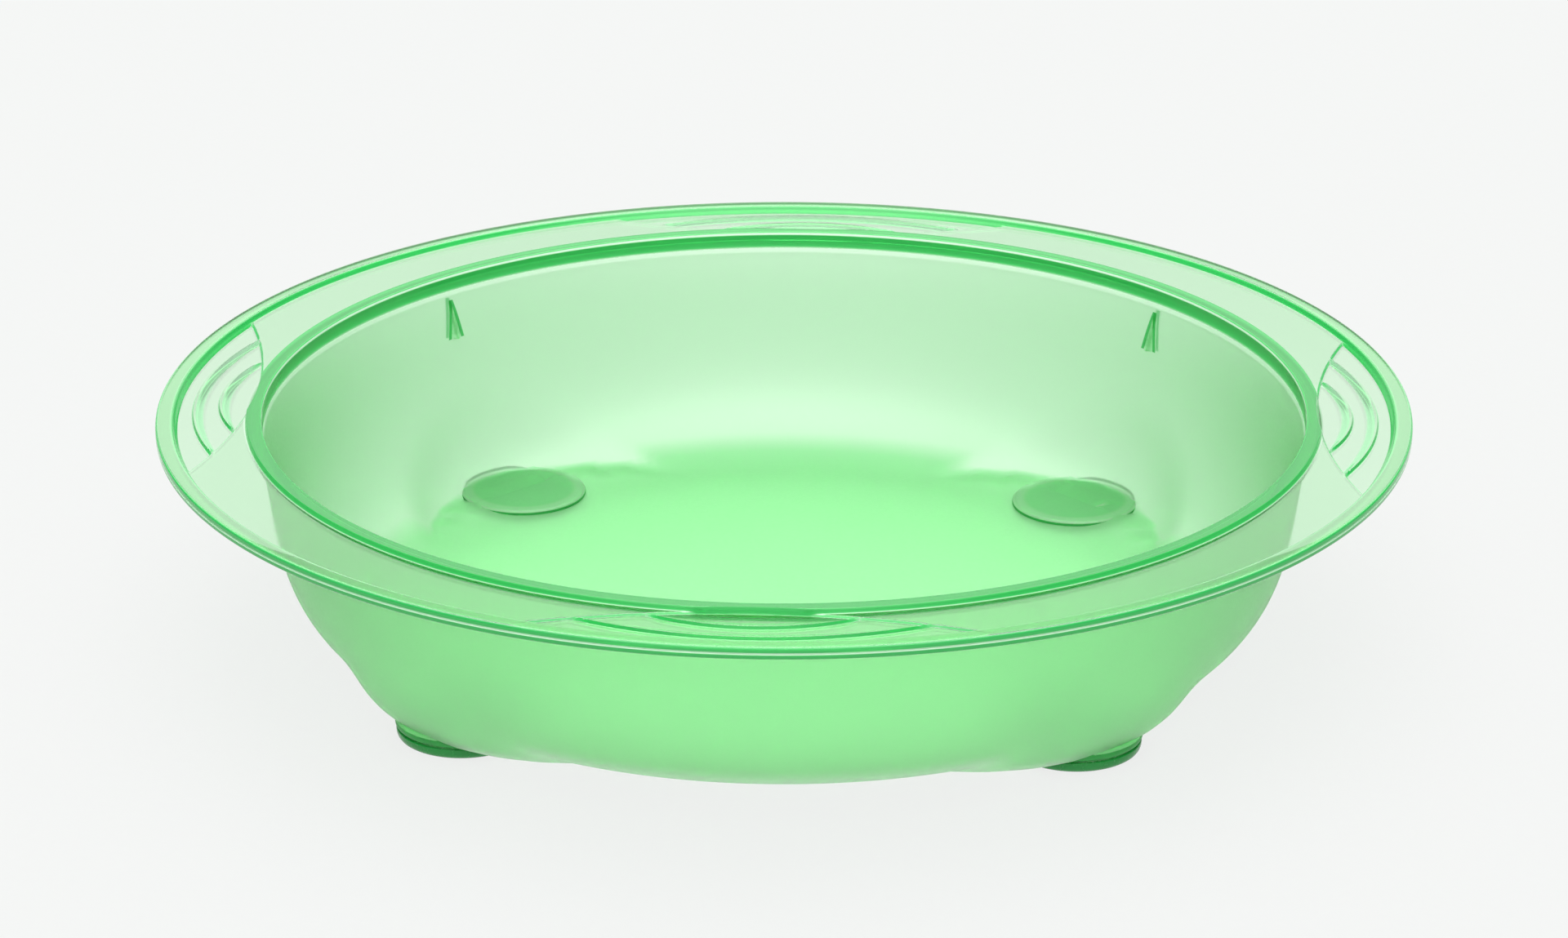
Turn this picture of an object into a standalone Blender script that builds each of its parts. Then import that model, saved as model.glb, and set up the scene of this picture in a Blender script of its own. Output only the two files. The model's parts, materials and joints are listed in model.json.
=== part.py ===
"""Round footed pan of translucent plastic, at its real size in metres, +Z up.

The origin is on the table, under the centre of the pan. The pan is one moulding: a deep bowl with a flat
flange, a rounded bead at its edge, a raised lip round the mouth, four thumb grips, four stacking wedges
inside the wall and four round lobes at the corners of the floor. Each lobe carries a separate soft pad.
"""

import bpy
import bmesh
from math import cos, hypot, pi, radians, sin, sqrt

# Overall size
RIM_RADIUS = 0.1780
HEIGHT = 0.0681

# Rim: an outer bead, a flat flange, and a lip round the mouth
BEAD_WIDTH = 0.0057
BEAD_DEPTH = 0.0035
BEAD_ROUND = 0.0010
FLANGE_TOP = HEIGHT - 0.0015
FLANGE_UNDERSIDE = HEIGHT - BEAD_DEPTH
LIP_OUTER = 0.1526
MOUTH_RADIUS = 0.1482
LIP_TOP = HEIGHT - 0.0001
LIP_CHAMFER = 0.0004

# Bowl wall: one curve from the flange down to the flat floor
WALL = 0.0025
WALL_TOP_RADIUS = 0.1522
WALL_TOP_ANGLE = radians(37.0)
WALL_TOP_REACH = 0.0185
FLOOR_UNDERSIDE = 0.0023
FLOOR_RADIUS = 0.1050
WALL_FOOT_REACH = 0.0516
WALL_POINTS = 9

# Corner lobes: upright round towers that grow out of the bowl's lower wall
LOBE_CENTRE = 0.0769
LOBE_RADIUS = 0.0665
LOBE_FILLET_WIDTH = 0.0159
LOBE_FILLET_HEIGHT = 0.0237
LOBE_UNDERSIDE = FLOOR_UNDERSIDE + 0.0001
LOBE_TOP = 0.0420

# Foot pads, each set in a shallow seat under its lobe; a round boss covers the pad's outer side
PAD_CENTRE = 0.1185
PAD_RADIUS = 0.0186
PAD_TOP = 0.0032
PAD_ROUND = 0.0026
SEAT_GAP = 0.0003
BOSS_RADIUS = 0.0189
BOSS_UNDERSIDE = PAD_TOP + SEAT_GAP + 0.0001
BOSS_TOP = 0.0062
BOSS_ROUND = 0.0003

# Thumb grips: a lens-shaped pocket in the flange, and two crescent ribs that stand on its floor
POCKET_FLOOR = FLANGE_TOP - 0.0006
POCKET_INNER = 0.1514
POCKET_ARC = 0.1894
POCKET_OUTER = 0.1718
RIB_TOP = POCKET_FLOOR + 0.0009
RIB_ROOT = POCKET_FLOOR - 0.0004
RIB_TIP_WIDTH = 0.0002
RIBS = (
    {"outer": 0.1683, "outer_arc": 0.1020, "inner": 0.1645, "inner_arc": 0.1190, "half_span": 0.0415},
    {"outer": 0.1613, "outer_arc": 0.0556, "inner": 0.1574, "inner_arc": 0.0890, "half_span": 0.0245},
)

# Stacking wedges on the inner wall, one over each lobe, a little nearer to the side grips than to the others
WEDGE_TOP = HEIGHT - 0.0079
WEDGE_FOOT = HEIGHT - 0.0194
WEDGE_WIDTH = 0.0060
WEDGE_RIDGE = 0.0008
WEDGE_REACH = 0.0016
WEDGE_ROOT = 0.0010

# Facets
TURN_STEPS = 64
LOBE_STEPS = 44
PAD_STEPS = 32
LENS_STEPS = 10
ARC_STEPS = 3
LOBE_ARC_STEPS = 6

GRIP_ANGLES = [radians(90.0 * i) for i in range(4)]
WEDGE_ANGLES = [radians(angle) for angle in (-43.5, 43.5, 136.5, -136.5)]
CORNERS = {
    "front_right": radians(-45.0),
    "back_right": radians(45.0),
    "back_left": radians(135.0),
    "front_left": radians(-135.0),
}


def clear_scene():
    for old in list(bpy.data.objects):
        bpy.data.objects.remove(old, do_unlink=True)


def new_collection(name):
    collection = bpy.data.collections.new(name)
    bpy.context.scene.collection.children.link(collection)
    return collection


def plastic(name, colour, roughness, transmission, ior):
    material = bpy.data.materials.new(name)
    material.use_nodes = True
    shader = material.node_tree.nodes["Principled BSDF"]
    shader.inputs["Base Color"].default_value = (*colour, 1.0)
    shader.inputs["Roughness"].default_value = roughness
    shader.inputs["Metallic"].default_value = 0.0
    shader.inputs["Transmission Weight"].default_value = transmission
    shader.inputs["IOR"].default_value = ior
    return material


def add_object(name, bm, collection):
    mesh = bpy.data.meshes.new(name)
    bm.to_mesh(mesh)
    bm.free()
    obj = bpy.data.objects.new(name, mesh)
    collection.objects.link(obj)
    return obj


def hide_as_cutter(obj):
    obj.hide_render = True
    obj.display_type = "WIRE"
    return obj


def turned(name, outline, steps, collection):
    """A smooth-shaded solid of revolution; the (radius, height) outline runs down its outer side."""
    bm = bmesh.new()
    points = [bm.verts.new((radius, 0.0, height)) for radius, height in outline]
    for start, end in zip(points, points[1:]):
        bm.edges.new((start, end))
    obj = add_object(name, bm, collection)
    screw = obj.modifiers.new("turn", "SCREW")
    screw.steps = steps
    screw.render_steps = steps
    screw.use_smooth_shade = True
    screw.use_merge_vertices = True
    screw.merge_threshold = 0.00001
    return obj


def arc(centre, radius, start, end):
    """Points along an arc in the (radius, height) plane, with angles measured from the outward direction."""
    angles = [start + (end - start) * i / ARC_STEPS for i in range(ARC_STEPS + 1)]
    return [(centre[0] + radius * cos(a), centre[1] + radius * sin(a)) for a in angles]


def wall_curve():
    """The bowl's outer wall, from the flange's underside down to the flat floor, as a cubic curve."""
    top = (WALL_TOP_RADIUS, FLANGE_UNDERSIDE)
    below = (top[0] - WALL_TOP_REACH * sin(WALL_TOP_ANGLE), top[1] - WALL_TOP_REACH * cos(WALL_TOP_ANGLE))
    foot = (FLOOR_RADIUS, FLOOR_UNDERSIDE)
    beside = (foot[0] + WALL_FOOT_REACH, foot[1])
    points = []
    for i in range(WALL_POINTS + 1):
        t = i / WALL_POINTS
        weights = ((1 - t) ** 3, 3 * t * (1 - t) ** 2, 3 * t * t * (1 - t), t ** 3)
        weighted = list(zip(weights, (top, below, beside, foot)))
        points.append(tuple(sum(w * p[k] for w, p in weighted) for k in (0, 1)))
    return points


def inset(points, distance):
    """The same curve moved inward, square to itself."""
    moved = []
    for i, (radius, height) in enumerate(points):
        before = points[max(i - 1, 0)]
        after = points[min(i + 1, len(points) - 1)]
        run, fall = before[0] - after[0], before[1] - after[1]
        length = hypot(run, fall)
        moved.append((radius - distance * fall / length, height + distance * run / length))
    return moved


def outer_outline():
    """Lip, flange, bead, wall and floor of the pan before it is hollowed."""
    bead_inner = RIM_RADIUS - BEAD_WIDTH
    bead_core = RIM_RADIUS - BEAD_ROUND
    outline = [(0.0, LIP_TOP), (LIP_OUTER - LIP_CHAMFER, LIP_TOP), (LIP_OUTER, FLANGE_TOP)]
    outline += [(bead_inner, FLANGE_TOP), (bead_inner + BEAD_ROUND, HEIGHT)]
    outline += arc((bead_core, HEIGHT - BEAD_ROUND), BEAD_ROUND, pi / 2, 0.0)
    outline += arc((bead_core, FLANGE_UNDERSIDE + BEAD_ROUND), BEAD_ROUND, 0.0, -pi / 2)
    outline += wall_curve()
    outline.append((0.0, FLOOR_UNDERSIDE))
    return outline


def inner_outline():
    """The hollow of the bowl: through the mouth, then down the inside of the wall to the floor."""
    below_lip = MOUTH_RADIUS - LIP_CHAMFER
    wall = [(min(radius, below_lip), height) for radius, height in inset(wall_curve(), WALL)]
    above_lip = LIP_TOP + WALL
    outline = [(0.0, above_lip), (MOUTH_RADIUS + WALL, above_lip), (MOUTH_RADIUS, LIP_TOP - LIP_CHAMFER)]
    outline += wall[1:]
    outline.append((0.0, FLOOR_UNDERSIDE + WALL))
    return outline


def lobe_outline(inward):
    """An upright round tower with an elliptical bottom edge, moved inward by a thickness."""
    radius = LOBE_RADIUS - inward
    width = LOBE_FILLET_WIDTH - inward
    height = LOBE_FILLET_HEIGHT - inward
    underside = LOBE_UNDERSIDE + inward
    outline = [(0.0, LOBE_TOP), (radius, LOBE_TOP)]
    for i in range(LOBE_ARC_STEPS + 1):
        turn = pi / 2 * i / LOBE_ARC_STEPS
        outline.append((radius - width + width * cos(turn), underside + height - height * sin(turn)))
    outline.append((0.0, underside))
    return outline


def disc_outline(radius, bottom, top, rounding):
    """A flat disc whose lower edge is rounded."""
    outline = [(0.0, top), (radius, top)]
    outline += arc((radius - rounding, bottom + rounding), rounding, 0.0, -pi / 2)
    outline.append((0.0, bottom))
    return outline


def stand_at(obj, angle, distance):
    """Place an object on a ray from the pan's axis, turned to face along it."""
    obj.rotation_euler.z = angle
    obj.location = (distance * cos(angle), distance * sin(angle), 0.0)
    return obj


def prism(name, lower, upper, collection):
    """A closed solid between two outlines with the same number of corners, given anticlockwise from above."""
    bm = bmesh.new()
    bottom = [bm.verts.new(point) for point in lower]
    top = [bm.verts.new(point) for point in upper]
    bm.faces.new(list(reversed(bottom)))
    bm.faces.new(top)
    for i in range(len(bottom)):
        j = (i + 1) % len(bottom)
        bm.faces.new((bottom[i], bottom[j], top[j], top[i]))
    bmesh.ops.recalc_face_normals(bm, faces=bm.faces)
    return add_object(name, bm, collection)


def pocket_cutter(angle, collection):
    """A thumb grip's pocket: an arc that bulges inward over the flange, closed by the bead's inner circle."""
    inner_centre = POCKET_INNER + POCKET_ARC
    reach = (inner_centre ** 2 + POCKET_OUTER ** 2 - POCKET_ARC ** 2) / (2.0 * inner_centre)
    half_span = sqrt(POCKET_OUTER ** 2 - reach ** 2)
    steps = [half_span * (2.0 * i / LENS_STEPS - 1.0) for i in range(LENS_STEPS + 1)]
    outer = [(sqrt(POCKET_OUTER ** 2 - y * y), y) for y in steps]
    inner = [(inner_centre - sqrt(POCKET_ARC ** 2 - y * y), y) for y in reversed(steps[1:-1])]
    outline = outer + inner
    lower = [(x, y, POCKET_FLOOR) for x, y in outline]
    upper = [(x, y, LIP_TOP + WALL) for x, y in outline]
    return hide_as_cutter(stand_at(prism("grip_pocket_cutter", lower, upper, collection), angle, 0.0))


def rib(angle, shape, collection):
    """A crescent rib: level with the pocket floor along its inner arc, and rising to its outer arc."""
    span = shape["half_span"]
    steps = [span * (2.0 * i / LENS_STEPS - 1.0) for i in range(LENS_STEPS + 1)]
    outer_centre = shape["outer"] - shape["outer_arc"]
    inner_centre = shape["inner"] - shape["inner_arc"]
    outer = [(outer_centre + sqrt(shape["outer_arc"] ** 2 - y * y), y) for y in steps]
    inner = [(inner_centre + sqrt(shape["inner_arc"] ** 2 - y * y), y) for y in steps]
    inner = [(min(xi, xo - RIB_TIP_WIDTH), y) for (xi, y), (xo, _) in zip(inner, outer)]
    outline = outer + inner[::-1]
    lower = [(x, y, RIB_ROOT) for x, y in outline]
    upper = [(x, y, RIB_TOP) for x, y in outer]
    upper += [(x, y, POCKET_FLOOR + RIB_TIP_WIDTH) for x, y in inner[::-1]]
    return hide_as_cutter(stand_at(prism("grip_rib_tool", lower, upper, collection), angle, 0.0))


def inner_wall_radius(height):
    """Radius of the bowl's inner face at a height."""
    wall = inset(wall_curve(), WALL)
    for (r0, z0), (r1, z1) in zip(wall, wall[1:]):
        if z1 <= height <= z0:
            return r0 + (r1 - r0) * (z0 - height) / (z0 - z1)
    return MOUTH_RADIUS


def wedge(angle, collection):
    """A stacking wedge: a point high on the wall that widens and deepens to a flat foot, ridged in front."""
    top_face = inner_wall_radius(WEDGE_TOP)
    foot_face = inner_wall_radius(WEDGE_FOOT)

    def section(face, reach, width, ridge, height):
        back = face + WEDGE_ROOT
        front = face - reach
        corners = [(back, -width / 2), (back, width / 2), (front, ridge / 2), (front, -ridge / 2)]
        return [(x, y, height) for x, y in corners]

    lower = section(foot_face, WEDGE_REACH, WEDGE_WIDTH, WEDGE_RIDGE, WEDGE_FOOT)
    upper = section(top_face, WEDGE_REACH / 10, WEDGE_WIDTH / 5, WEDGE_RIDGE / 2, WEDGE_TOP)
    return hide_as_cutter(stand_at(prism("wedge_tool", lower, upper, collection), angle, 0.0))


def boolean(target, tool, operation):
    modifier = target.modifiers.new(tool.name, "BOOLEAN")
    modifier.object = tool
    modifier.operation = operation
    modifier.solver = "EXACT"


def build_shell(parts, tools):
    """The moulding: solid outer form, then its hollow, then the small features."""
    boss_outline = disc_outline(BOSS_RADIUS, BOSS_UNDERSIDE, BOSS_TOP, BOSS_ROUND)
    seat_radius, seat_top = PAD_RADIUS + SEAT_GAP, PAD_TOP + SEAT_GAP
    seat_outline = [(0.0, seat_top), (seat_radius, seat_top), (seat_radius, -WALL), (0.0, -WALL)]
    shell = turned("pan_shell", outer_outline(), TURN_STEPS, parts)
    for angle in CORNERS.values():
        lobe = hide_as_cutter(turned("lobe_tool", lobe_outline(0.0), LOBE_STEPS, tools))
        boolean(shell, stand_at(lobe, angle, LOBE_CENTRE), "UNION")
        boss = hide_as_cutter(turned("boss_tool", boss_outline, PAD_STEPS, tools))
        boolean(shell, stand_at(boss, angle, PAD_CENTRE), "UNION")
    boolean(shell, hide_as_cutter(turned("bowl_cutter", inner_outline(), TURN_STEPS, tools)), "DIFFERENCE")
    for angle in CORNERS.values():
        hollow = hide_as_cutter(turned("lobe_cutter", lobe_outline(WALL), LOBE_STEPS, tools))
        boolean(shell, stand_at(hollow, angle, LOBE_CENTRE), "DIFFERENCE")
        seat = hide_as_cutter(turned("seat_cutter", seat_outline, PAD_STEPS, tools))
        boolean(shell, stand_at(seat, angle, PAD_CENTRE), "DIFFERENCE")
    for angle in WEDGE_ANGLES:
        boolean(shell, wedge(angle, tools), "UNION")
    for angle in GRIP_ANGLES:
        boolean(shell, pocket_cutter(angle, tools), "DIFFERENCE")
        for shape in RIBS:
            boolean(shell, rib(angle, shape, tools), "UNION")
    return shell


def build_pads(parts):
    """Four soft pads, each a disc with a rounded lower edge."""
    outline = disc_outline(PAD_RADIUS, 0.0, PAD_TOP, PAD_ROUND)
    pads = []
    for corner, angle in CORNERS.items():
        pad = turned("foot_pad_" + corner, outline, PAD_STEPS, parts)
        pads.append(stand_at(pad, angle, PAD_CENTRE))
    return pads


def main():
    clear_scene()
    parts = new_collection("pan")
    tools = new_collection("cutters")
    green = plastic("green_plastic", (0.16, 0.80, 0.25), 0.25, 0.8, 1.49)
    dark_green = plastic("pad_rubber", (0.03, 0.30, 0.09), 0.35, 0.4, 1.45)
    build_shell(parts, tools).data.materials.append(green)
    for pad in build_pads(parts):
        pad.data.materials.append(dark_green)


main()
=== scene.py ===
"""Looks of the translucent pan: a fine shell, four soft pads, a pale floor, soft light and a camera."""

import json
from math import cos, hypot, pi, radians, sin

import bmesh
import bpy
import numpy as np
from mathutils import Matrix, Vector


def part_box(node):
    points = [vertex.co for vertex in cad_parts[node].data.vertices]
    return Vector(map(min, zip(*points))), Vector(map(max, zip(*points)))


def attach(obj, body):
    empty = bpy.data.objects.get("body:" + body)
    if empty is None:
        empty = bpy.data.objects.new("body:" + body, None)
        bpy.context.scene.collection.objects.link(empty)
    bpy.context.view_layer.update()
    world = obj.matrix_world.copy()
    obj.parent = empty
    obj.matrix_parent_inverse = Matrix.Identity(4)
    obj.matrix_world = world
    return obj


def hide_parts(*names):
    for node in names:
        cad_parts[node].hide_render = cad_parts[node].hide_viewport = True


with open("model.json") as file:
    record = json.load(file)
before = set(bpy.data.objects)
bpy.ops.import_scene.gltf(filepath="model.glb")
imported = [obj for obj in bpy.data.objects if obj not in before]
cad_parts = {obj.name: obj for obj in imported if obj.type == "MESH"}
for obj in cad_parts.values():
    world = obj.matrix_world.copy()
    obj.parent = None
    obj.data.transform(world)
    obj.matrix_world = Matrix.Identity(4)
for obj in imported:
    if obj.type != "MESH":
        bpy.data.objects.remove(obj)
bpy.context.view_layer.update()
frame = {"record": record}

MM = 0.001

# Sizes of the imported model
SHELL_LOW, SHELL_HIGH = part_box("pan_shell")
PAD_LOW, PAD_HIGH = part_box("foot_pad_back_right")
MOUNTS = {mount["name"]: mount["pos_m"] for mount in frame["record"]["mounts"]}
RIM_RADIUS = SHELL_HIGH.x
HEIGHT = SHELL_HIGH.z
FLOOR_UNDERSIDE = SHELL_LOW.z
WALL = MOUNTS["bowl_floor"][2] - FLOOR_UNDERSIDE
FLANGE_UNDERSIDE = MOUNTS["flange_underside"][2]
PAD_MIDDLE = (PAD_LOW + PAD_HIGH) / 2.0
PAD_CENTRE = hypot(PAD_MIDDLE.x, PAD_MIDDLE.y)
PAD_RADIUS = (PAD_HIGH.x - PAD_LOW.x) / 2.0
PAD_TOP = PAD_HIGH.z

# Rim
BEAD_INNER = RIM_RADIUS - 5.7 * MM
BEAD_ROUND = 1.0 * MM
GROOVE_DEPTH = 0.25 * MM
GROOVE_HEIGHTS = (1.5 * MM, 1.7 * MM, 1.9 * MM)
FLANGE_TOP = HEIGHT - 1.5 * MM
LIP_OUTER = 152.6 * MM
MOUTH_RADIUS = 148.2 * MM
LIP_TOP = HEIGHT - 0.1 * MM
LIP_ROUND = 0.6 * MM

# Bowl wall: one cubic curve from the flange to the flat floor
WALL_TOP_RADIUS = 152.2 * MM
WALL_TOP_ANGLE = radians(37.0)
WALL_TOP_REACH = 18.5 * MM
FLOOR_RADIUS = 105.0 * MM
WALL_FOOT_REACH = 51.6 * MM
MOUTH_BLEND = 0.8 * MM

# Corner lobes
LOBE_CENTRE = 76.9 * MM
LOBE_RADIUS = 66.5 * MM
LOBE_FILLET_WIDTH = 15.9 * MM
LOBE_FILLET_HEIGHT = 23.7 * MM
LOBE_BLEND = 2.2 * MM
LOBE_BLEND_FADE = 9.0 * MM
CORNERS = [radians(angle) for angle in (-45, 45, 135, -135)]
CORNER_NAMES = ["front_right", "back_right", "back_left", "front_left"]

# Bosses, seats, pads and stacking wedges
BOSS_RADIUS = 18.9 * MM
BOSS_TOP = 6.2 * MM
BOSS_ROUND = 1.25 * MM
SEAT_GAP = 0.3 * MM
WEDGE_TOP = HEIGHT - 7.9 * MM
WEDGE_FOOT = HEIGHT - 19.4 * MM
WEDGE_WIDTH = 6.0 * MM
WEDGE_REACH = 1.2 * MM
WEDGE_ROOT = 1.0 * MM
WEDGE_LEVELS = 9
WEDGE_TIP_WIDTH = 0.2
WEDGE_TIP_REACH = 0.1
WEDGE_RIDGE = 0.14
WEDGE_TURN = radians(43.5)
WEDGE_ANGLES = (-WEDGE_TURN, WEDGE_TURN, pi - WEDGE_TURN, WEDGE_TURN - pi)
PAD_ROUND = 2.6 * MM
PAD_TOP_ROUND = 0.35 * MM

# Thumb grips
POCKET_DEPTH = 0.6 * MM
POCKET_INNER = 151.4 * MM
POCKET_ARC = 189.4 * MM
POCKET_EDGE = 0.7 * MM
RIB_HEIGHT = 0.9 * MM
RIB_EDGE = 0.5 * MM
RIB_FULL_WIDTH = 1.6 * MM
POCKET_END = radians(20.7)
RIBS = (
    {"outer": 168.3 * MM, "outer_arc": 102.0 * MM,
     "inner": 164.5 * MM, "inner_arc": 119.0 * MM, "tip": radians(14.8)},
    {"outer": 161.3 * MM, "outer_arc": 55.6 * MM,
     "inner": 157.4 * MM, "inner_arc": 89.0 * MM, "tip": radians(8.9)},
)

# Mesh density
COARSE = 300
FINE = 5
GRIP_HALF = radians(21.6)
SECTION = 400
WALL_SLOPES, WALL_SLOPE_END = 42, radians(33.5)
FLOOR_SLOPES, FLOOR_SLOPE_SPAN, FLOOR_CROWDING = 22, radians(56.0), 1.2
DISC_STEPS = 120
ROUND_STEPS = 6
SHELL_SHARP_ANGLE = radians(38.0)
PAD_SHARP_ANGLE = radians(50.0)


def smoothstep(x):
    """A soft step from 0 to 1."""
    x = np.clip(x, 0.0, 1.0)
    return x * x * (3.0 - 2.0 * x)


def smooth_max(a, b, k):
    """The larger of two values, rounded over k where they meet."""
    share = np.clip(0.5 + 0.5 * (a - b) / k, 0.0, 1.0)
    return b + (a - b) * share + k * share * (1.0 - share)


def smooth_min(a, b, k):
    """The smaller of two values, rounded in the same way."""
    return -smooth_max(-a, -b, k)


# ---------------------------------------------------------------- angles

def angle_sets():
    """Coarse angles round the pan, and dense ones that are five times finer across the thumb grips."""
    step = 2.0 * pi / COARSE
    coarse = np.arange(COARSE) * step
    dense, start = [], []
    for angle in coarse:
        start.append(len(dense))
        middle = (angle + step / 2.0) % (pi / 2.0)
        near = min(middle, pi / 2.0 - middle) < GRIP_HALF
        parts = FINE if near else 1
        dense += [angle + step * k / parts for k in range(parts)]
    return coarse, np.array(dense), start


# ---------------------------------------------------------------- bowl wall

def main_section():
    """The bowl's outer wall and flat floor as (radius, height), from the flange to the axis."""
    t = np.linspace(0.0, 1.0, SECTION)
    top = np.array([WALL_TOP_RADIUS, FLANGE_UNDERSIDE])
    below = top - WALL_TOP_REACH * np.array([sin(WALL_TOP_ANGLE), cos(WALL_TOP_ANGLE)])
    foot = np.array([FLOOR_RADIUS, FLOOR_UNDERSIDE])
    beside = foot + np.array([WALL_FOOT_REACH, 0.0])
    weights = np.array([(1 - t) ** 3, 3 * t * (1 - t) ** 2, 3 * t * t * (1 - t), t ** 3])
    curve = weights.T @ np.array([top, below, beside, foot])
    return curve[:, 0], curve[:, 1]


def ray_lengths(radius, height, slope):
    """Distance from the axis at the flange's level to a section curve, along rays that fall at each slope."""
    drop = FLANGE_UNDERSIDE - height
    along = np.interp(slope, np.arctan2(drop, radius), np.hypot(radius, drop))
    depth = FLANGE_UNDERSIDE - FLOOR_UNDERSIDE
    last = np.arctan2(drop[-1], radius[-1])
    return np.where(slope > last, depth / np.sin(np.maximum(slope, 0.05)), along)


def lobe_section(offset):
    """Section of a corner lobe by the plane at an angle from the lobe's own."""
    turn = np.linspace(0.0, pi / 2.0, SECTION // 2)
    radius = LOBE_RADIUS - LOBE_FILLET_WIDTH * (1.0 - np.cos(turn))
    height = FLOOR_UNDERSIDE + LOBE_FILLET_HEIGHT * (1.0 - np.sin(turn))
    upper = np.linspace(FLANGE_UNDERSIDE, height[0], SECTION // 4, endpoint=False)
    radius = np.concatenate([np.full(len(upper), LOBE_RADIUS), radius])
    height = np.concatenate([upper, height])
    side = LOBE_CENTRE * sin(offset)
    inside = radius > abs(side) + 1e-6
    if inside.sum() < 8:
        return None
    radius, height = radius[inside], height[inside]
    return LOBE_CENTRE * cos(offset) + np.sqrt(radius ** 2 - side ** 2), height


def bowl_grid(angles, slopes):
    """Points of the bowl's outer face: one row for each slope, one column for each angle."""
    main = ray_lengths(*main_section(), slopes)
    grid = np.zeros((len(slopes), len(angles), 3))
    for column, angle in enumerate(angles):
        offset = angle % (pi / 2.0) - pi / 4.0
        section = lobe_section(offset)
        length = main
        if section is not None:
            lobe = ray_lengths(*section, slopes)
            last = np.arctan2(FLANGE_UNDERSIDE - section[1][-1], section[0][-1])
            lobe = np.where(slopes > last, np.minimum(lobe, main), lobe)
            level = FLANGE_UNDERSIDE - np.maximum(main, lobe) * np.sin(slopes)
            blend = LOBE_BLEND * smoothstep((level - FLOOR_UNDERSIDE) / LOBE_BLEND_FADE) + 1e-6
            length = smooth_max(main, lobe, blend)
        radius = length * np.cos(slopes)
        grid[:, column, 0] = radius * cos(angle)
        grid[:, column, 1] = radius * sin(angle)
        grid[:, column, 2] = FLANGE_UNDERSIDE - length * np.sin(slopes)
    return grid


def inward(grid):
    """Unit normals of the grid that point into the bowl."""
    along = np.gradient(grid, axis=0)
    around = np.roll(grid, -1, axis=1) - np.roll(grid, 1, axis=1)
    normal = np.cross(around, along)
    normal /= np.maximum(np.linalg.norm(normal, axis=2, keepdims=True), 1e-12)
    towards = np.where(normal[..., 2:3] < 0.0, -1.0, 1.0)
    return normal * towards


# ---------------------------------------------------------------- flange top

def crossing(centre, arc, angle):
    """Radius at which a ray from the pan's axis leaves a circle centred on the grip's own axis."""
    return centre * np.cos(angle) + np.sqrt(np.maximum(arc ** 2 - (centre * np.sin(angle)) ** 2, 0.0))


def flange_height(x, y):
    """Height of the flange's top face, in a grip's own frame: x outward, y along the rim."""
    radius = np.hypot(x, y)
    pocket = POCKET_ARC - np.hypot(x - POCKET_INNER - POCKET_ARC, y)
    in_pocket = smoothstep(pocket / POCKET_EDGE + 0.5) * smoothstep((BEAD_INNER - radius) / (0.5 * MM))
    lip = smoothstep((LIP_OUTER - radius) / (0.5 * MM) + 0.5)
    height = FLANGE_TOP + (LIP_TOP - FLANGE_TOP) * lip * (1.0 - in_pocket) - POCKET_DEPTH * in_pocket
    for rib in RIBS:
        outer = rib["outer_arc"] - np.hypot(x - rib["outer"] + rib["outer_arc"], y)
        inner = np.hypot(x - rib["inner"] + rib["inner_arc"], y) - rib["inner_arc"]
        width = np.maximum(outer + inner, 1e-6)
        slope = np.clip(inner / width, 0.0, 1.0)
        edge = smoothstep(outer / RIB_EDGE + 0.5)
        full = smoothstep(width / RIB_FULL_WIDTH)
        height = height + RIB_HEIGHT * edge * full * smoothstep(slope) * (inner > -1.0 * MM) * in_pocket
    return height


def flange_rows(angles):
    """Rows of the flange's top from the bead to the mouth, crowded along the edges of the grip's shapes."""
    local = (angles + pi / 4.0) % (pi / 2.0) - pi / 4.0
    turn = np.abs(local)
    end = MOUTH_RADIUS + LIP_ROUND
    rows = [BEAD_INNER - d * MM for d in (0.25, 0.5, 0.8)]
    for rib in RIBS:
        turned = np.minimum(turn, rib["tip"])
        outer = crossing(rib["outer"] - rib["outer_arc"], rib["outer_arc"], turned)
        inner = crossing(rib["inner"] - rib["inner_arc"], rib["inner_arc"], turned)
        inner = np.minimum(inner, outer - 0.4 * MM)
        rows += [outer + d * MM for d in (0.55, 0.3, 0.18, 0.06, -0.06, -0.18, -0.3)]
        rows += [outer - 0.3 * MM + (inner - outer + 0.3 * MM) * k / 5.0 for k in range(1, 6)]
        rows.append(inner - 0.4 * MM)
    centre = POCKET_INNER + POCKET_ARC
    turned = np.minimum(turn, POCKET_END)
    pocket = centre * np.cos(turned) - np.sqrt(POCKET_ARC ** 2 - (centre * np.sin(turned)) ** 2)
    rows += [pocket + d * MM for d in (0.8, 0.4, 0.25, 0.1, -0.05, -0.2, -0.35, -0.7)]
    rows += [LIP_OUTER + d * MM for d in (0.6, 0.3, 0.15, 0.0, -0.15, -0.3, -0.6)]
    rows.append(end + 0.9 * MM)
    radius = np.array([np.broadcast_to(row, turn.shape) for row in rows])
    radius = -np.sort(-np.clip(radius, end, BEAD_INNER), axis=0)
    count, gap = len(radius), 0.03 * MM
    for k in range(count):
        radius[k] = np.minimum(radius[k], (radius[k - 1] if k else BEAD_INNER) - gap)
    for k in range(count - 1, -1, -1):
        radius[k] = np.maximum(radius[k], (radius[k + 1] if k < count - 1 else end) + gap)
    radius = np.vstack([np.full_like(turn, BEAD_INNER), radius, np.full_like(turn, end)])
    out = []
    for row in radius:
        height = flange_height(row * np.cos(local), row * np.sin(local))
        out.append(np.stack([row * np.cos(angles), row * np.sin(angles), height], axis=1))
    return out


# ---------------------------------------------------------------- shell

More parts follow.
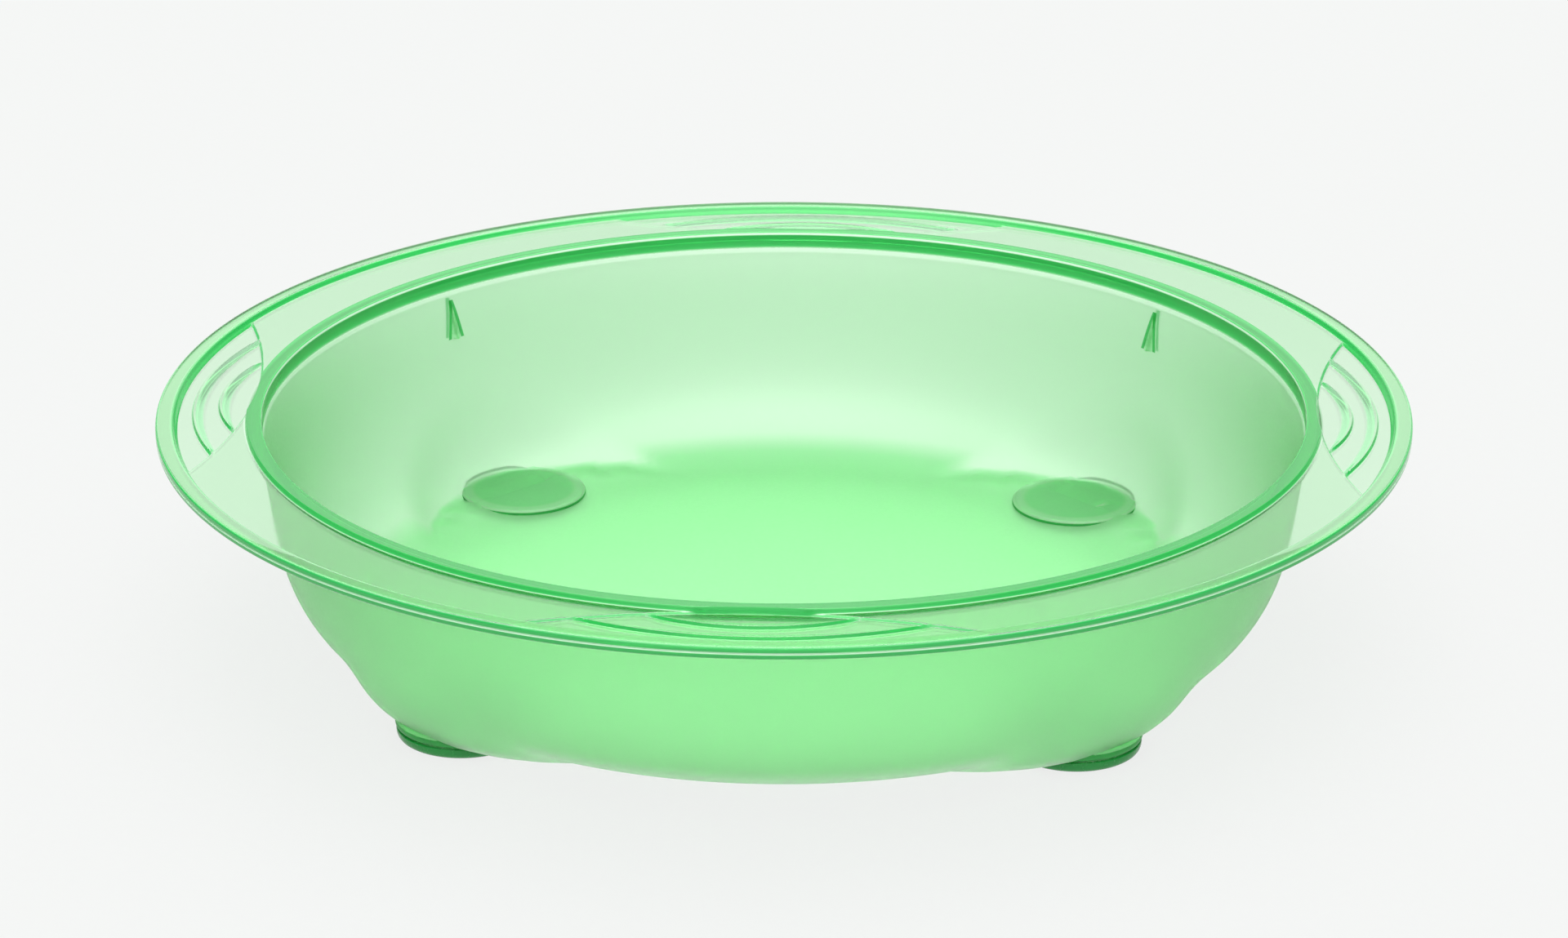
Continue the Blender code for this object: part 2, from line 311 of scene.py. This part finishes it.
def turned_rows(outline, angles):
    """One row of points round the pan's axis for each point of an outline."""
    cosine, sine, one = np.cos(angles), np.sin(angles), np.ones(len(angles))
    return [np.stack([r * cosine, r * sine, z * one], axis=1) for r, z in outline]


def corner(start, control, end, steps):
    """A rounded corner between two points of an outline."""
    points = []
    for i in range(steps + 1):
        t = i / steps
        points.append(tuple((1 - t) ** 2 * a + 2 * t * (1 - t) * b + t * t * c
                            for a, b, c in zip(start, control, end)))
    return points


def rim_outline():
    """Flange underside and bead, from the wall's top round to the bead's inner foot."""
    top, bottom = HEIGHT, FLANGE_UNDERSIDE
    edge, inner = RIM_RADIUS, BEAD_INNER
    b = BEAD_ROUND
    points = [(WALL_TOP_RADIUS + 1.3 * MM, bottom), (inner, bottom)]
    points += corner((edge - b, bottom), (edge, bottom), (edge, bottom + b), 5)
    low, middle, high = (bottom + height for height in GROOVE_HEIGHTS)
    points += [(edge, low), (edge - GROOVE_DEPTH, middle), (edge, high)]
    points += corner((edge, top - b), (edge, top), (edge - b, top), 5)
    points += [(edge - 2.2 * MM, top)]
    points += corner((inner + 1.9 * MM, top), (inner + 0.9 * MM, top), (inner + 0.6 * MM, top - 0.7 * MM), 4)
    points += [(inner + 0.25 * MM, FLANGE_TOP + 0.2 * MM)]
    return points


def shell_mesh():
    """The moulding without its bosses, wedges and seats: wall, flange, bead, grips, lip and bowl."""
    coarse, dense, start = angle_sets()
    slopes = np.concatenate([
        np.linspace(0.0, WALL_SLOPE_END, WALL_SLOPES),
        WALL_SLOPE_END + FLOOR_SLOPE_SPAN * np.linspace(0.0, 1.0, FLOOR_SLOPES)[1:] ** FLOOR_CROWDING,
    ])
    outer = bowl_grid(coarse, slopes)
    inner = outer + WALL * inward(outer)
    radius = np.hypot(inner[..., 0], inner[..., 1])
    kept = smooth_min(radius, np.full_like(radius, MOUTH_RADIUS), MOUTH_BLEND)
    inner[..., 0] *= kept / radius
    inner[..., 1] *= kept / radius
    rows = [(row, False) for row in outer[::-1][:-1]]
    fillet = corner((WALL_TOP_RADIUS - 0.5 * MM, FLANGE_UNDERSIDE - 0.6 * MM),
                    (WALL_TOP_RADIUS, FLANGE_UNDERSIDE),
                    (WALL_TOP_RADIUS + 0.9 * MM, FLANGE_UNDERSIDE), 4)
    rows += [(row, False) for row in turned_rows(fillet + rim_outline(), coarse)]
    rows += [(row, True) for row in flange_rows(dense)]
    lip = corner((MOUTH_RADIUS + LIP_ROUND, LIP_TOP), (MOUTH_RADIUS, LIP_TOP),
                 (MOUTH_RADIUS, LIP_TOP - LIP_ROUND), 5)
    rows += [(row, False) for row in turned_rows(lip[1:], coarse)]
    inner_rows = [row for row in inner if row[:, 2].max() < LIP_TOP - LIP_ROUND - 0.3 * MM]
    rows += [(row, False) for row in inner_rows]
    return stitch(rows, start)


def stitch(rows, start):
    """One closed mesh from rows of points. A dense row meets a coarse one through many-sided faces."""
    verts, faces, first = [], [], []
    for row, _ in rows:
        first.append(sum(len(v) for v in verts))
        verts.append(row)
    for k in range(len(rows) - 1):
        a, b = first[k], first[k + 1]
        dense_a, dense_b = rows[k][1], rows[k + 1][1]
        count = len(rows[k][0]) if dense_a == dense_b else COARSE
        for i in range(count):
            j = (i + 1) % count
            if dense_a == dense_b:
                faces.append((a + i, a + j, b + j, b + i))
                continue
            size = len(rows[k][0]) if dense_a else len(rows[k + 1][0])
            last = start[j] if j else size
            many = [n % size for n in range(start[i], last + 1)]
            if dense_a:
                faces.append([a + n for n in many] + [b + j, b + i])
            else:
                faces.append([a + i, a + j] + [b + n for n in reversed(many)])
    total = sum(len(v) for v in verts)
    bottom = np.array([[0.0, 0.0, rows[0][0][:, 2].mean()]])
    top = np.array([[0.0, 0.0, rows[-1][0][:, 2].mean()]])
    verts += [bottom, top]
    end = first[-1]
    for i in range(COARSE):
        j = (i + 1) % COARSE
        faces.append((total, j, i))
        faces.append((total + 1, end + i, end + j))
    mesh = bpy.data.meshes.new("pan_shell_fine")
    mesh.from_pydata(np.concatenate(verts).tolist(), [], faces)
    return mesh


def new_object(name, mesh):
    """An object of the scene that shows a mesh."""
    obj = bpy.data.objects.new(name, mesh)
    bpy.context.scene.collection.objects.link(obj)
    return obj


def turned_bmesh(bm, outline, steps, angle, distance):
    """Adds a closed solid of revolution that stands on a ray from the pan's axis."""
    centre = Vector((distance * cos(angle), distance * sin(angle), 0.0))
    rings = []
    for radius, height in outline:
        if radius < 1e-7:
            rings.append([bm.verts.new(centre + Vector((0.0, 0.0, height)))])
            continue
        turns = [2.0 * pi * k / steps for k in range(steps)]
        points = [Vector((radius * cos(turn), radius * sin(turn), height)) for turn in turns]
        rings.append([bm.verts.new(centre + point) for point in points])
    for a, b in zip(rings, rings[1:]):
        for i in range(steps):
            j = (i + 1) % steps
            corners = [a[i % len(a)], a[j % len(a)], b[j % len(b)], b[i % len(b)]]
            bm.faces.new(list(dict.fromkeys(corners)))


def disc_outline(radius, bottom, top, lower, upper):
    """A disc with rounded lower and upper edges, from the top's centre down to the underside's."""
    points = [(0.0, top), (radius * 0.6, top), (radius - upper - 0.3 * MM, top)]
    points += corner((radius - upper, top), (radius, top), (radius, top - upper), ROUND_STEPS)
    points += corner((radius, bottom + lower), (radius, bottom), (radius - lower, bottom), ROUND_STEPS)
    points += [(radius - lower - 0.3 * MM, bottom), (radius * 0.6, bottom), (0.0, bottom)]
    return points


def wedge(bm, angle, face):
    """A stacking wedge: a point high on the wall that widens and deepens to a blunt foot."""
    rows = []
    for k in range(WEDGE_LEVELS):
        t = k / (WEDGE_LEVELS - 1)
        height = WEDGE_TOP + (WEDGE_FOOT - WEDGE_TOP) * t
        front = face(height) - WEDGE_REACH * (WEDGE_TIP_REACH + (1.0 - WEDGE_TIP_REACH) * t)
        back = face(height) + WEDGE_ROOT
        half = WEDGE_WIDTH / 2.0 * (WEDGE_TIP_WIDTH + (1.0 - WEDGE_TIP_WIDTH) * t)
        ridge = half * WEDGE_RIDGE
        shape = [(back, -half), (front + 0.25 * MM, -ridge), (front, -ridge * 0.4), (front, ridge * 0.4),
                 (front + 0.25 * MM, ridge), (back, half)]
        rows.append([bm.verts.new((x * cos(angle) - y * sin(angle), x * sin(angle) + y * cos(angle), height))
                     for x, y in shape])
    for a, b in zip(rows, rows[1:]):
        for i in range(len(a)):
            j = (i + 1) % len(a)
            bm.faces.new((a[i], a[j], b[j], b[i]))
    bm.faces.new(rows[0][::-1])
    bm.faces.new(rows[-1])


def inner_face():
    """The inner wall's radius at a height, away from the lobes."""
    radius, height = main_section()
    run, fall = np.gradient(radius), np.gradient(height)
    size = np.hypot(run, fall)
    r, z = radius + WALL * fall / size, height - WALL * run / size
    return lambda level: float(np.interp(level, z[::-1], r[::-1]))


def tool(name, fill):
    """A closed object from a function that fills a bmesh."""
    bm = bmesh.new()
    fill(bm)
    bmesh.ops.recalc_face_normals(bm, faces=bm.faces)
    mesh = bpy.data.meshes.new(name)
    bm.to_mesh(mesh)
    bm.free()
    return new_object(name, mesh)


def build_shell():
    """The fine shell, with bosses and wedges joined on and the pads' seats cut out."""
    shell = new_object("pan_shell_fine", shell_mesh())
    boss_foot = PAD_TOP + SEAT_GAP + 0.1 * MM
    boss = disc_outline(BOSS_RADIUS, boss_foot, BOSS_TOP, BOSS_ROUND, BOSS_ROUND)
    seat_radius, seat_top = PAD_RADIUS + SEAT_GAP, PAD_TOP + SEAT_GAP
    seat = [(0.0, seat_top), (seat_radius, seat_top), (seat_radius, -WALL), (0.0, -WALL)]
    face = inner_face()

    def additions(bm):
        for angle in CORNERS:
            turned_bmesh(bm, boss, DISC_STEPS, angle, PAD_CENTRE)
        for angle in WEDGE_ANGLES:
            wedge(bm, angle, face)

    def cuts(bm):
        for angle in CORNERS:
            turned_bmesh(bm, seat, DISC_STEPS, angle, PAD_CENTRE)

    tools = []
    for name, fill, operation in (("additions", additions, "UNION"), ("seats", cuts, "DIFFERENCE")):
        cutter = tool(name, fill)
        modifier = shell.modifiers.new(name, "BOOLEAN")
        modifier.object = cutter
        modifier.operation = operation
        modifier.solver = "MANIFOLD"
        tools.append(cutter)
    return bake(shell, tools)


def bake(obj, tools):
    """Applies an object's modifiers and removes the objects they used."""
    bpy.context.view_layer.update()
    graph = bpy.context.evaluated_depsgraph_get()
    mesh = bpy.data.meshes.new_from_object(obj.evaluated_get(graph))
    obj.modifiers.clear()
    obj.data = mesh
    for extra in tools:
        bpy.data.objects.remove(extra)
    mesh.shade_smooth()
    mesh.set_sharp_from_angle(angle=SHELL_SHARP_ANGLE)
    return obj


def build_pads():
    """The four pads, in the order of CORNER_NAMES."""
    pads = []
    for name, angle in zip(CORNER_NAMES, CORNERS):
        outline = disc_outline(PAD_RADIUS, 0.0, PAD_TOP, PAD_ROUND, PAD_TOP_ROUND)
        pad = tool("pad_" + name, lambda bm: turned_bmesh(bm, outline, DISC_STEPS, angle, PAD_CENTRE))
        pad.data.shade_smooth()
        pad.data.set_sharp_from_angle(angle=PAD_SHARP_ANGLE)
        pads.append(pad)
    return pads


# ---------------------------------------------------------------- materials

# A soft edge is (start, end), and a band is (start, full, full, end)
# The masks below, past the frost edge, place painted shade, painted highlights and a painted lightening
FROST_EDGE = (HEIGHT - 5.6 * MM, HEIGHT - 4.6 * MM)
# Where painted shade on the bowl's floor goes
FLOOR_SHADE_LEVELS, FLOOR_SHADE_UPNESS = (6.4 * MM, 16.0 * MM), (0.88, 0.97)
# Where the painted lightening of the lower bowl goes: downward-facing frosted faces
HANGING_UPNESS = (-0.97, -0.93, -0.80, -0.62)
# Where painted shade on the clear rim's slanted faces goes, by how level each face is
STEEP_UPNESS, SLOPED_UPNESS = (0.75, 0.95), (0.97, 0.995)
# Where painted shade over each pad and a painted lighter halo round it go
PAD_SHADE_EDGE = (14.4 * MM, 15.6 * MM)
PAD_HALO_BAND = (15.2 * MM, 16.2 * MM, 17.6 * MM, 18.6 * MM)
# Where the painted dark band low on each boss's side goes
BOSS_SIDE_BAND = (17.0 * MM, 17.4 * MM, 19.1 * MM, 19.4 * MM)
BOSS_SIDE_LEVELS, BOSS_SIDE_UPNESS = (5.6 * MM, 6.0 * MM), (0.3, 0.5)
# Where painted shade on the wedges and their edges goes
WEDGE_SIDES, WEDGE_EDGE_SHADE = (-0.1 * MM, 0.15 * MM), (-1.3 * MM, -1.0 * MM)
WEDGE_LEVEL_BAND = (WEDGE_FOOT - 0.1 * MM, WEDGE_FOOT, WEDGE_TOP, WEDGE_TOP + 0.1 * MM)
# Where the painted dark green on the lip goes
LIP_SHADE_SIDE = (LIP_OUTER - 0.1 * MM, LIP_OUTER + 0.2 * MM)
LIP_SHADE_LEVELS = (LIP_TOP - 0.9 * MM, LIP_TOP - 0.5 * MM)
LIP_SHADE_FOOT = (LIP_OUTER - 0.4 * MM, LIP_OUTER - 0.2 * MM)
LIP_SHADE_FOOT_LEVELS = (FLANGE_TOP + 0.05 * MM, FLANGE_TOP + 0.3 * MM)
# Where the painted highlight lines go: at the mouth's inner corner, where the frosted wall starts, along the
# lip's outer foot and along the bead's groove
INSIDE_EDGE = (MOUTH_RADIUS + 0.3 * MM, MOUTH_RADIUS + 0.6 * MM)
SEAM_HIGHLIGHT_BAND = tuple(LIP_OUTER + d * MM for d in (0.1, 0.25, 0.55, 0.7))
SEAM_HIGHLIGHT_LEVELS, SEAM_HIGHLIGHT_STRENGTH = (FLANGE_TOP - 0.2 * MM, FLANGE_TOP - 0.1 * MM), 0.45
GLINT_BAND = tuple(HEIGHT - d * MM for d in (6.8, 6.2, 5.4, 4.9))
BROW_HIGHLIGHT_BAND = tuple(LIP_TOP - d * MM for d in (1.1, 0.8, 0.4, 0.2))
GROOVE_HIGHLIGHT_BAND = tuple(FLANGE_UNDERSIDE + d * MM for d in (1.3, 1.5, 1.9, 2.1))
GROOVE_HIGHLIGHT_EDGE, GROOVE_HIGHLIGHT_STRENGTH = (RIM_RADIUS - 0.6 * MM, RIM_RADIUS - 0.5 * MM), 0.6

# Each mask of the plastic, in the order of tinting: its tint, and how much less light it lets through. Only
# the first row, the frost, is the plastic's own finish. The rows after it paint shade (on the bowl's floor,
# over the pads, on the wedges, on the clear rim's slanted faces, on the lip and low on the bosses), a lighter
# halo round each pad and highlight lines along the rim. The last row makes the downward-facing frosted wall
# less clear, a painted lightening of the lower bowl.
FEATURES = (
    ("frost", (0.89, 1.0, 0.90), 0.12),
    ("floor", (0.55, 0.95, 0.60), 0.0),
    ("pad_painted_shade", (0.40, 0.90, 0.50), 0.0),
    ("pad_painted_halo", (0.66, 1.0, 0.72), 0.0),
    ("wedge", (0.62, 1.0, 0.68), 0.0),
    ("wedge_edge_painted_shade", (0.02, 0.40, 0.06), 0.0),
    ("sloped_painted_shade", (0.45, 0.95, 0.54), 0.20),
    ("steep_painted_shade", (0.05, 0.53, 0.13), 0.45),
    ("lip", (0.045, 0.42, 0.10), 0.50),
    ("boss_side_painted_shade", (0.02, 0.30, 0.06), 0.40),
    ("painted_highlight_line", (0.96, 1.0, 0.96), 0.40),
    ("hanging_painted_light", None, 0.20),
)
LEAST_CLEAR = 0.1
PLASTIC_PALE = ((0.93, 1.0, 0.93), (0.97, 1.0, 0.96))
PLASTIC_CLEAR_ROUGH, PLASTIC_FROST_ROUGH = (0.03, 0.07), (0.38, 0.48)
PLASTIC_IOR = 1.49
PLASTIC_ABSORPTION = (0.0, 0.86, 0.08, 1.0)
PLASTIC_DENSITY = 148.0
PAD_COLOURS, PAD_ROUGH, PAD_IOR = ((0.007, 0.20, 0.032), (0.013, 0.25, 0.045)), (0.20, 0.30), 1.45
GRAIN_HEIGHT = 0.05 * MM
NOISE_MIDDLE = (0.3, 0.7)
PAPER_COLOURS = ((0.050, 0.050, 0.050), (0.056, 0.056, 0.056))
# The stronger glow under the pan is a painted pool of light
GLOW_EDGE, GLOW_UNDER, GLOW_AROUND = (96.0 * MM, 112.0 * MM), 1.02, 0.805


class Nodes:
    """Short calls for building the nodes of a material or a world."""

    def __init__(self, owner, shader="Principled BSDF"):
        self.owner = owner
        owner.use_nodes = True
        self.tree = owner.node_tree
        self.shader = self.tree.nodes[shader]

    def add(self, kind, values=(), **settings):
        node = self.tree.nodes.new(kind)
        for key, value in settings.items():
            setattr(node, key, value)
        for key, value in dict(values).items():
            node.inputs[key].default_value = value
        return node

    def link(self, source, target):
        self.tree.links.new(source, target)

    def shade(self, source, name):
        self.link(source, self.shader.inputs[name])

    def parts(self, vector):
        node = self.add("ShaderNodeSeparateXYZ")
        self.link(vector, node.inputs[0])
        return [node.outputs[axis] for axis in "XYZ"]

    def noise(self, coordinates, scale, detail=4.0, roughness=0.5):
        node = self.add("ShaderNodeTexNoise", {"Scale": scale, "Detail": detail, "Roughness": roughness})
        self.link(coordinates, node.inputs["Vector"])
        return node.outputs["Fac"]

    def ramp(self, value, edge, start, end, **settings):
        """A number that goes from its start to its end as the value crosses an edge."""
        limits = {"From Min": edge[0], "From Max": edge[1], "To Min": start, "To Max": end}
        node = self.add("ShaderNodeMapRange", limits, **settings)
        self.link(value, node.inputs["Value"])
        return node.outputs["Result"]

    def over(self, value, edge):
        return self.ramp(value, edge, 0.0, 1.0)

    def under(self, value, edge):
        return self.ramp(value, edge, 1.0, 0.0)

    def band(self, value, edges):
        return self.product(self.over(value, edges[:2]), self.under(value, edges[2:]))

    def mix(self, value, first, second, kind="RGBA", **settings):
        """Mixes two numbers, or two colours, either of which may be another node's."""
        node = self.add("ShaderNodeMix", data_type=kind, **settings)
        self.link(value, node.inputs["Factor"])
        start = 6 if kind == "RGBA" else 2
        for socket, item in zip((node.inputs[start], node.inputs[start + 1]), (first, second)):
            if isinstance(item, tuple):
                socket.default_value = (*item, 1.0)
            else:
                self.link(item, socket)
        return node.outputs[2 if kind == "RGBA" else 0]

    def math(self, operation, *values):
        node = self.add("ShaderNodeMath", operation=operation)
        for socket, value in zip(node.inputs, values):
            if isinstance(value, (int, float)):
                socket.default_value = value
            else:
                self.link(value, socket)
        return node.outputs[0]

    def product(self, first, *others):
        for value in others:
            first = self.math("MULTIPLY", first, value)
        return first

    def length(self, a, b):
        squares = self.math("ADD", self.math("MULTIPLY", a, a), self.math("MULTIPLY", b, b))
        return self.math("POWER", squares, 0.5)

    def bump(self, height, strength):
        node = self.add("ShaderNodeBump", {"Strength": strength, "Distance": GRAIN_HEIGHT})
        self.link(height, node.inputs["Height"])
        self.shade(node.outputs["Normal"], "Normal")


def foot_masks(n, x, y, z, up):
    """Painted shade on the bowl's floor, darker over each pad, a painted lighter halo round each pad and a
    painted dark band low on each boss, from the distances to the floor's corners.
    """
    corner_x = n.math("SUBTRACT", n.math("ABSOLUTE", x), PAD_CENTRE * cos(pi / 4.0))
    corner_y = n.math("SUBTRACT", n.math("ABSOLUTE", y), PAD_CENTRE * sin(pi / 4.0))
    spot = n.length(corner_x, corner_y)
    # Painted shade: the bowl's floor is tinted darker green, standing in for light lost through the floor
    floor = n.product(n.over(up, FLOOR_SHADE_UPNESS), n.under(z, FLOOR_SHADE_LEVELS))
    # Painted shade: a dark band low on each boss's side, beside its pad
    boss_side_painted_shade = n.product(n.band(spot, BOSS_SIDE_BAND), n.under(z, BOSS_SIDE_LEVELS),
                          n.under(up, BOSS_SIDE_UPNESS))
    return {"floor": floor,
            # Painted shade over each pad seen through the floor, and a painted lighter halo round it
            "pad_painted_shade": n.product(n.under(spot, PAD_SHADE_EDGE), floor),
            "pad_painted_halo": n.product(n.band(spot, PAD_HALO_BAND), floor),
            "boss_side_painted_shade": boss_side_painted_shade}


def wedge_masks(n, x, y, z, up):
    """Painted shade on the stacking wedges, darker along their side edges, from the distance to each wedge's
    middle plane.
    """
    aside = n.math("ADD", n.math("MULTIPLY", n.math("ABSOLUTE", x), -sin(WEDGE_TURN)),
                   n.math("MULTIPLY", n.math("ABSOLUTE", y), cos(WEDGE_TURN)))
    half = n.ramp(z, (WEDGE_TOP + 0.2 * MM, WEDGE_FOOT), 0.7 * MM, WEDGE_WIDTH / 2.0)
    past = n.math("SUBTRACT", n.math("ABSOLUTE", aside), half)
    wedge_painted_shade = n.product(n.under(past, WEDGE_SIDES), n.band(z, WEDGE_LEVEL_BAND), n.over(up, (0.0, 0.1)))
    return {"wedge": wedge_painted_shade, "wedge_edge_painted_shade": n.product(n.over(past, WEDGE_EDGE_SHADE), wedge_painted_shade)}


def rim_masks(n, radius, z, up, frost):
    """Painted shade on the lip and on the clear rim's slanted faces, and painted highlight lines along its
    corners.
    """
    clear = n.math("SUBTRACT", 1.0, frost)
    level = n.math("ABSOLUTE", up)
    # Painted shade: the lip and its outer foot are tinted dark green, standing in for the look through its
    # thickness
    lip_shade_side = n.under(radius, LIP_SHADE_SIDE)
    lip_shade_foot = n.product(lip_shade_side, n.over(radius, LIP_SHADE_FOOT), n.over(z, LIP_SHADE_FOOT_LEVELS))
    inside = n.under(radius, INSIDE_EDGE)
    # Painted highlights: pale lines at the mouth's inner corner, where the frosted wall starts, along the
    # lip's outer foot and along the bead's groove
    lines = [n.product(n.band(z, GLINT_BAND), inside),
             n.product(n.band(z, BROW_HIGHLIGHT_BAND), inside),
             n.product(n.band(radius, SEAM_HIGHLIGHT_BAND), n.over(z, SEAM_HIGHLIGHT_LEVELS), SEAM_HIGHLIGHT_STRENGTH),
             n.product(n.band(z, GROOVE_HIGHLIGHT_BAND), n.over(radius, GROOVE_HIGHLIGHT_EDGE), GROOVE_HIGHLIGHT_STRENGTH)]
    bright = lines[0]
    for line in lines[1:]:
        bright = n.math("MAXIMUM", bright, line)
    return {"lip": n.math("MAXIMUM", n.product(lip_shade_side, n.over(z, LIP_SHADE_LEVELS)), lip_shade_foot),
            # Painted shade: the clear rim's slanted and upright faces are tinted darker green and let less
            # light through
            "steep_painted_shade": n.product(n.under(level, STEEP_UPNESS), clear),
            "sloped_painted_shade": n.product(n.under(level, SLOPED_UPNESS), clear),
            "painted_highlight_line": bright}


def green_plastic():
    """Clear green rim and frosted green bowl in one material. Most of the green is in the plastic's depth;
    masks by position and surface direction paint shade and highlights into its colour and clearness.
    """
    n = Nodes(bpy.data.materials.new("green_plastic"))
    coordinates = n.add("ShaderNodeTexCoord").outputs
    place = coordinates["Object"]
    x, y, z = n.parts(place)
    up = n.parts(coordinates["Normal"])[2]
    radius = n.length(x, y)
    frost = n.under(z, FROST_EDGE)
    fine = n.noise(place, 900.0, 3.0, 0.6)
    broad = n.noise(place, 22.0, 3.0, 0.5)
    clear_rough = n.ramp(broad, NOISE_MIDDLE, *PLASTIC_CLEAR_ROUGH)
    frost_rough = n.ramp(fine, NOISE_MIDDLE, *PLASTIC_FROST_ROUGH)
    n.shade(n.mix(frost, clear_rough, frost_rough, "FLOAT"), "Roughness")

    # Painted lightening: the downward-facing frosted wall lets less light through, so its pale diffuse part
    # shows more of the floor's glow
    masks = {"frost": frost, "hanging_painted_light": n.product(n.band(up, HANGING_UPNESS), frost)}
    masks.update(foot_masks(n, x, y, z, up))
    masks.update(wedge_masks(n, x, y, z, up))
    masks.update(rim_masks(n, radius, z, up, frost))
    colour, clearness = n.mix(broad, *PLASTIC_PALE), 1.0
    # Every tint after the frost is painted shade or painted light, and the clearness drops with it
    for name, tint, dulling in FEATURES:
        if tint:
            colour = n.mix(masks[name], colour, tint, clamp_factor=True)
        if dulling:
            clearness = n.math("SUBTRACT", clearness, n.math("MULTIPLY", masks[name], dulling))
    n.shade(colour, "Base Color")
    n.shade(n.math("MAXIMUM", clearness, LEAST_CLEAR), "Transmission Weight")
    n.shader.inputs["IOR"].default_value = PLASTIC_IOR
    n.bump(n.math("MULTIPLY", fine, frost), 0.15)
    depth = n.add("ShaderNodeVolumeAbsorption", {"Color": PLASTIC_ABSORPTION, "Density": PLASTIC_DENSITY})
    n.link(depth.outputs[0], n.tree.nodes["Material Output"].inputs["Volume"])
    return n.owner


def pad_rubber():
    """Soft, dark green, glossy rubber."""
    n = Nodes(bpy.data.materials.new("pad_rubber"))
    place = n.add("ShaderNodeTexCoord").outputs["Object"]
    grain = n.noise(place, 700.0, 4.0, 0.6)
    n.shade(n.mix(n.noise(place, 60.0, 3.0, 0.5), *PAD_COLOURS), "Base Color")
    n.shade(n.ramp(grain, NOISE_MIDDLE, *PAD_ROUGH), "Roughness")
    n.shader.inputs["IOR"].default_value = PAD_IOR
    n.bump(grain, 0.2)
    return n.owner


def floor_paper():
    """Pale paper that glows evenly, and glows more under the pan: a painted pool of light that lights the pan
    from below.
    """
    n = Nodes(bpy.data.materials.new("floor_paper"))
    place = n.add("ShaderNodeTexCoord").outputs["Object"]
    n.shade(n.mix(n.noise(place, 300.0), *PAPER_COLOURS), "Base Color")
    n.shader.inputs["Roughness"].default_value = 0.9
    n.shader.inputs["Specular IOR Level"].default_value = 0.0
    n.shader.inputs["Emission Color"].default_value = (1.0, 1.0, 1.0, 1.0)
    away = n.add("ShaderNodeVectorMath", operation="LENGTH")
    n.link(place, away.inputs[0])
    n.shade(n.ramp(away.outputs["Value"], GLOW_EDGE, GLOW_UNDER, GLOW_AROUND), "Emission Strength")
    return n.owner


# ---------------------------------------------------------------- set

CAMERA_ELEVATION = radians(20.68)
CAMERA_YAW = radians(3.0)
CAMERA_DISTANCE = 8.457 * RIM_RADIUS
CAMERA_LENS = 121.4
CAMERA_AIM_DROP = 21.1 * MM
DOME_TOP, DOME_HORIZON, DOME_RISE = 4.3, 0.78, (0.25, 0.95)
DOME_SIDES, DOME_SIDE_EDGE = (0.015, 0.27, 0.06), (0.06, 0.50)
FLOOR_HALF = 8.0


def place_camera():
    """A long lens in front of the pan, a little to the right and above."""
    camera = bpy.data.cameras.new("camera")
    camera.sensor_width = 36.0
    camera.lens = CAMERA_LENS
    camera.clip_start = 0.01
    camera.clip_end = 100.0
    obj = bpy.data.objects.new("camera", camera)
    bpy.context.scene.collection.objects.link(obj)
    level = CAMERA_DISTANCE * cos(CAMERA_ELEVATION)
    obj.location = (level * sin(CAMERA_YAW), -level * cos(CAMERA_YAW),
                    HEIGHT + CAMERA_DISTANCE * sin(CAMERA_ELEVATION))
    aim = Vector((0.0, 0.0, HEIGHT - CAMERA_AIM_DROP)) - obj.location
    obj.rotation_euler = aim.to_track_quat("-Z", "Y").to_euler()
    bpy.context.scene.camera = obj


def studio_world():
    """A pale dome: bright overhead, dimmer towards the horizon, dark green at the two sides."""
    n = Nodes(bpy.data.worlds.new("studio"), "Background")
    x, _, z = n.parts(n.add("ShaderNodeTexCoord").outputs["Generated"])
    n.shade(n.ramp(z, DOME_RISE, DOME_HORIZON, DOME_TOP, interpolation_type="SMOOTHSTEP"), "Strength")
    middle = n.under(n.math("MULTIPLY", x, x), DOME_SIDE_EDGE)
    n.shade(n.mix(middle, DOME_SIDES, (1.0, 1.0, 1.0)), "Color")
    return n.owner


def build_set():
    """The floor and the dome, shown with plain colours."""
    mesh = bpy.data.meshes.new("floor")
    bm = bmesh.new()
    bmesh.ops.create_grid(bm, x_segments=8, y_segments=8, size=FLOOR_HALF)
    bm.to_mesh(mesh)
    bm.free()
    floor = new_object("floor", mesh)
    floor.data.materials.append(floor_paper())
    bpy.context.scene.world = studio_world()
    bpy.context.scene.view_settings.view_transform = "Standard"


def main():
    """Builds the pan and its set."""
    green, dark = green_plastic(), pad_rubber()
    shell = build_shell()
    shell.data.materials.clear()
    shell.data.materials.append(green)
    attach(shell, "root")
    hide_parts("pan_shell")
    for name, pad in zip(CORNER_NAMES, build_pads()):
        pad.data.materials.append(dark)
        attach(pad, "root")
        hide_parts("foot_pad_" + name)
    build_set()
    place_camera()
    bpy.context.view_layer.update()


main()
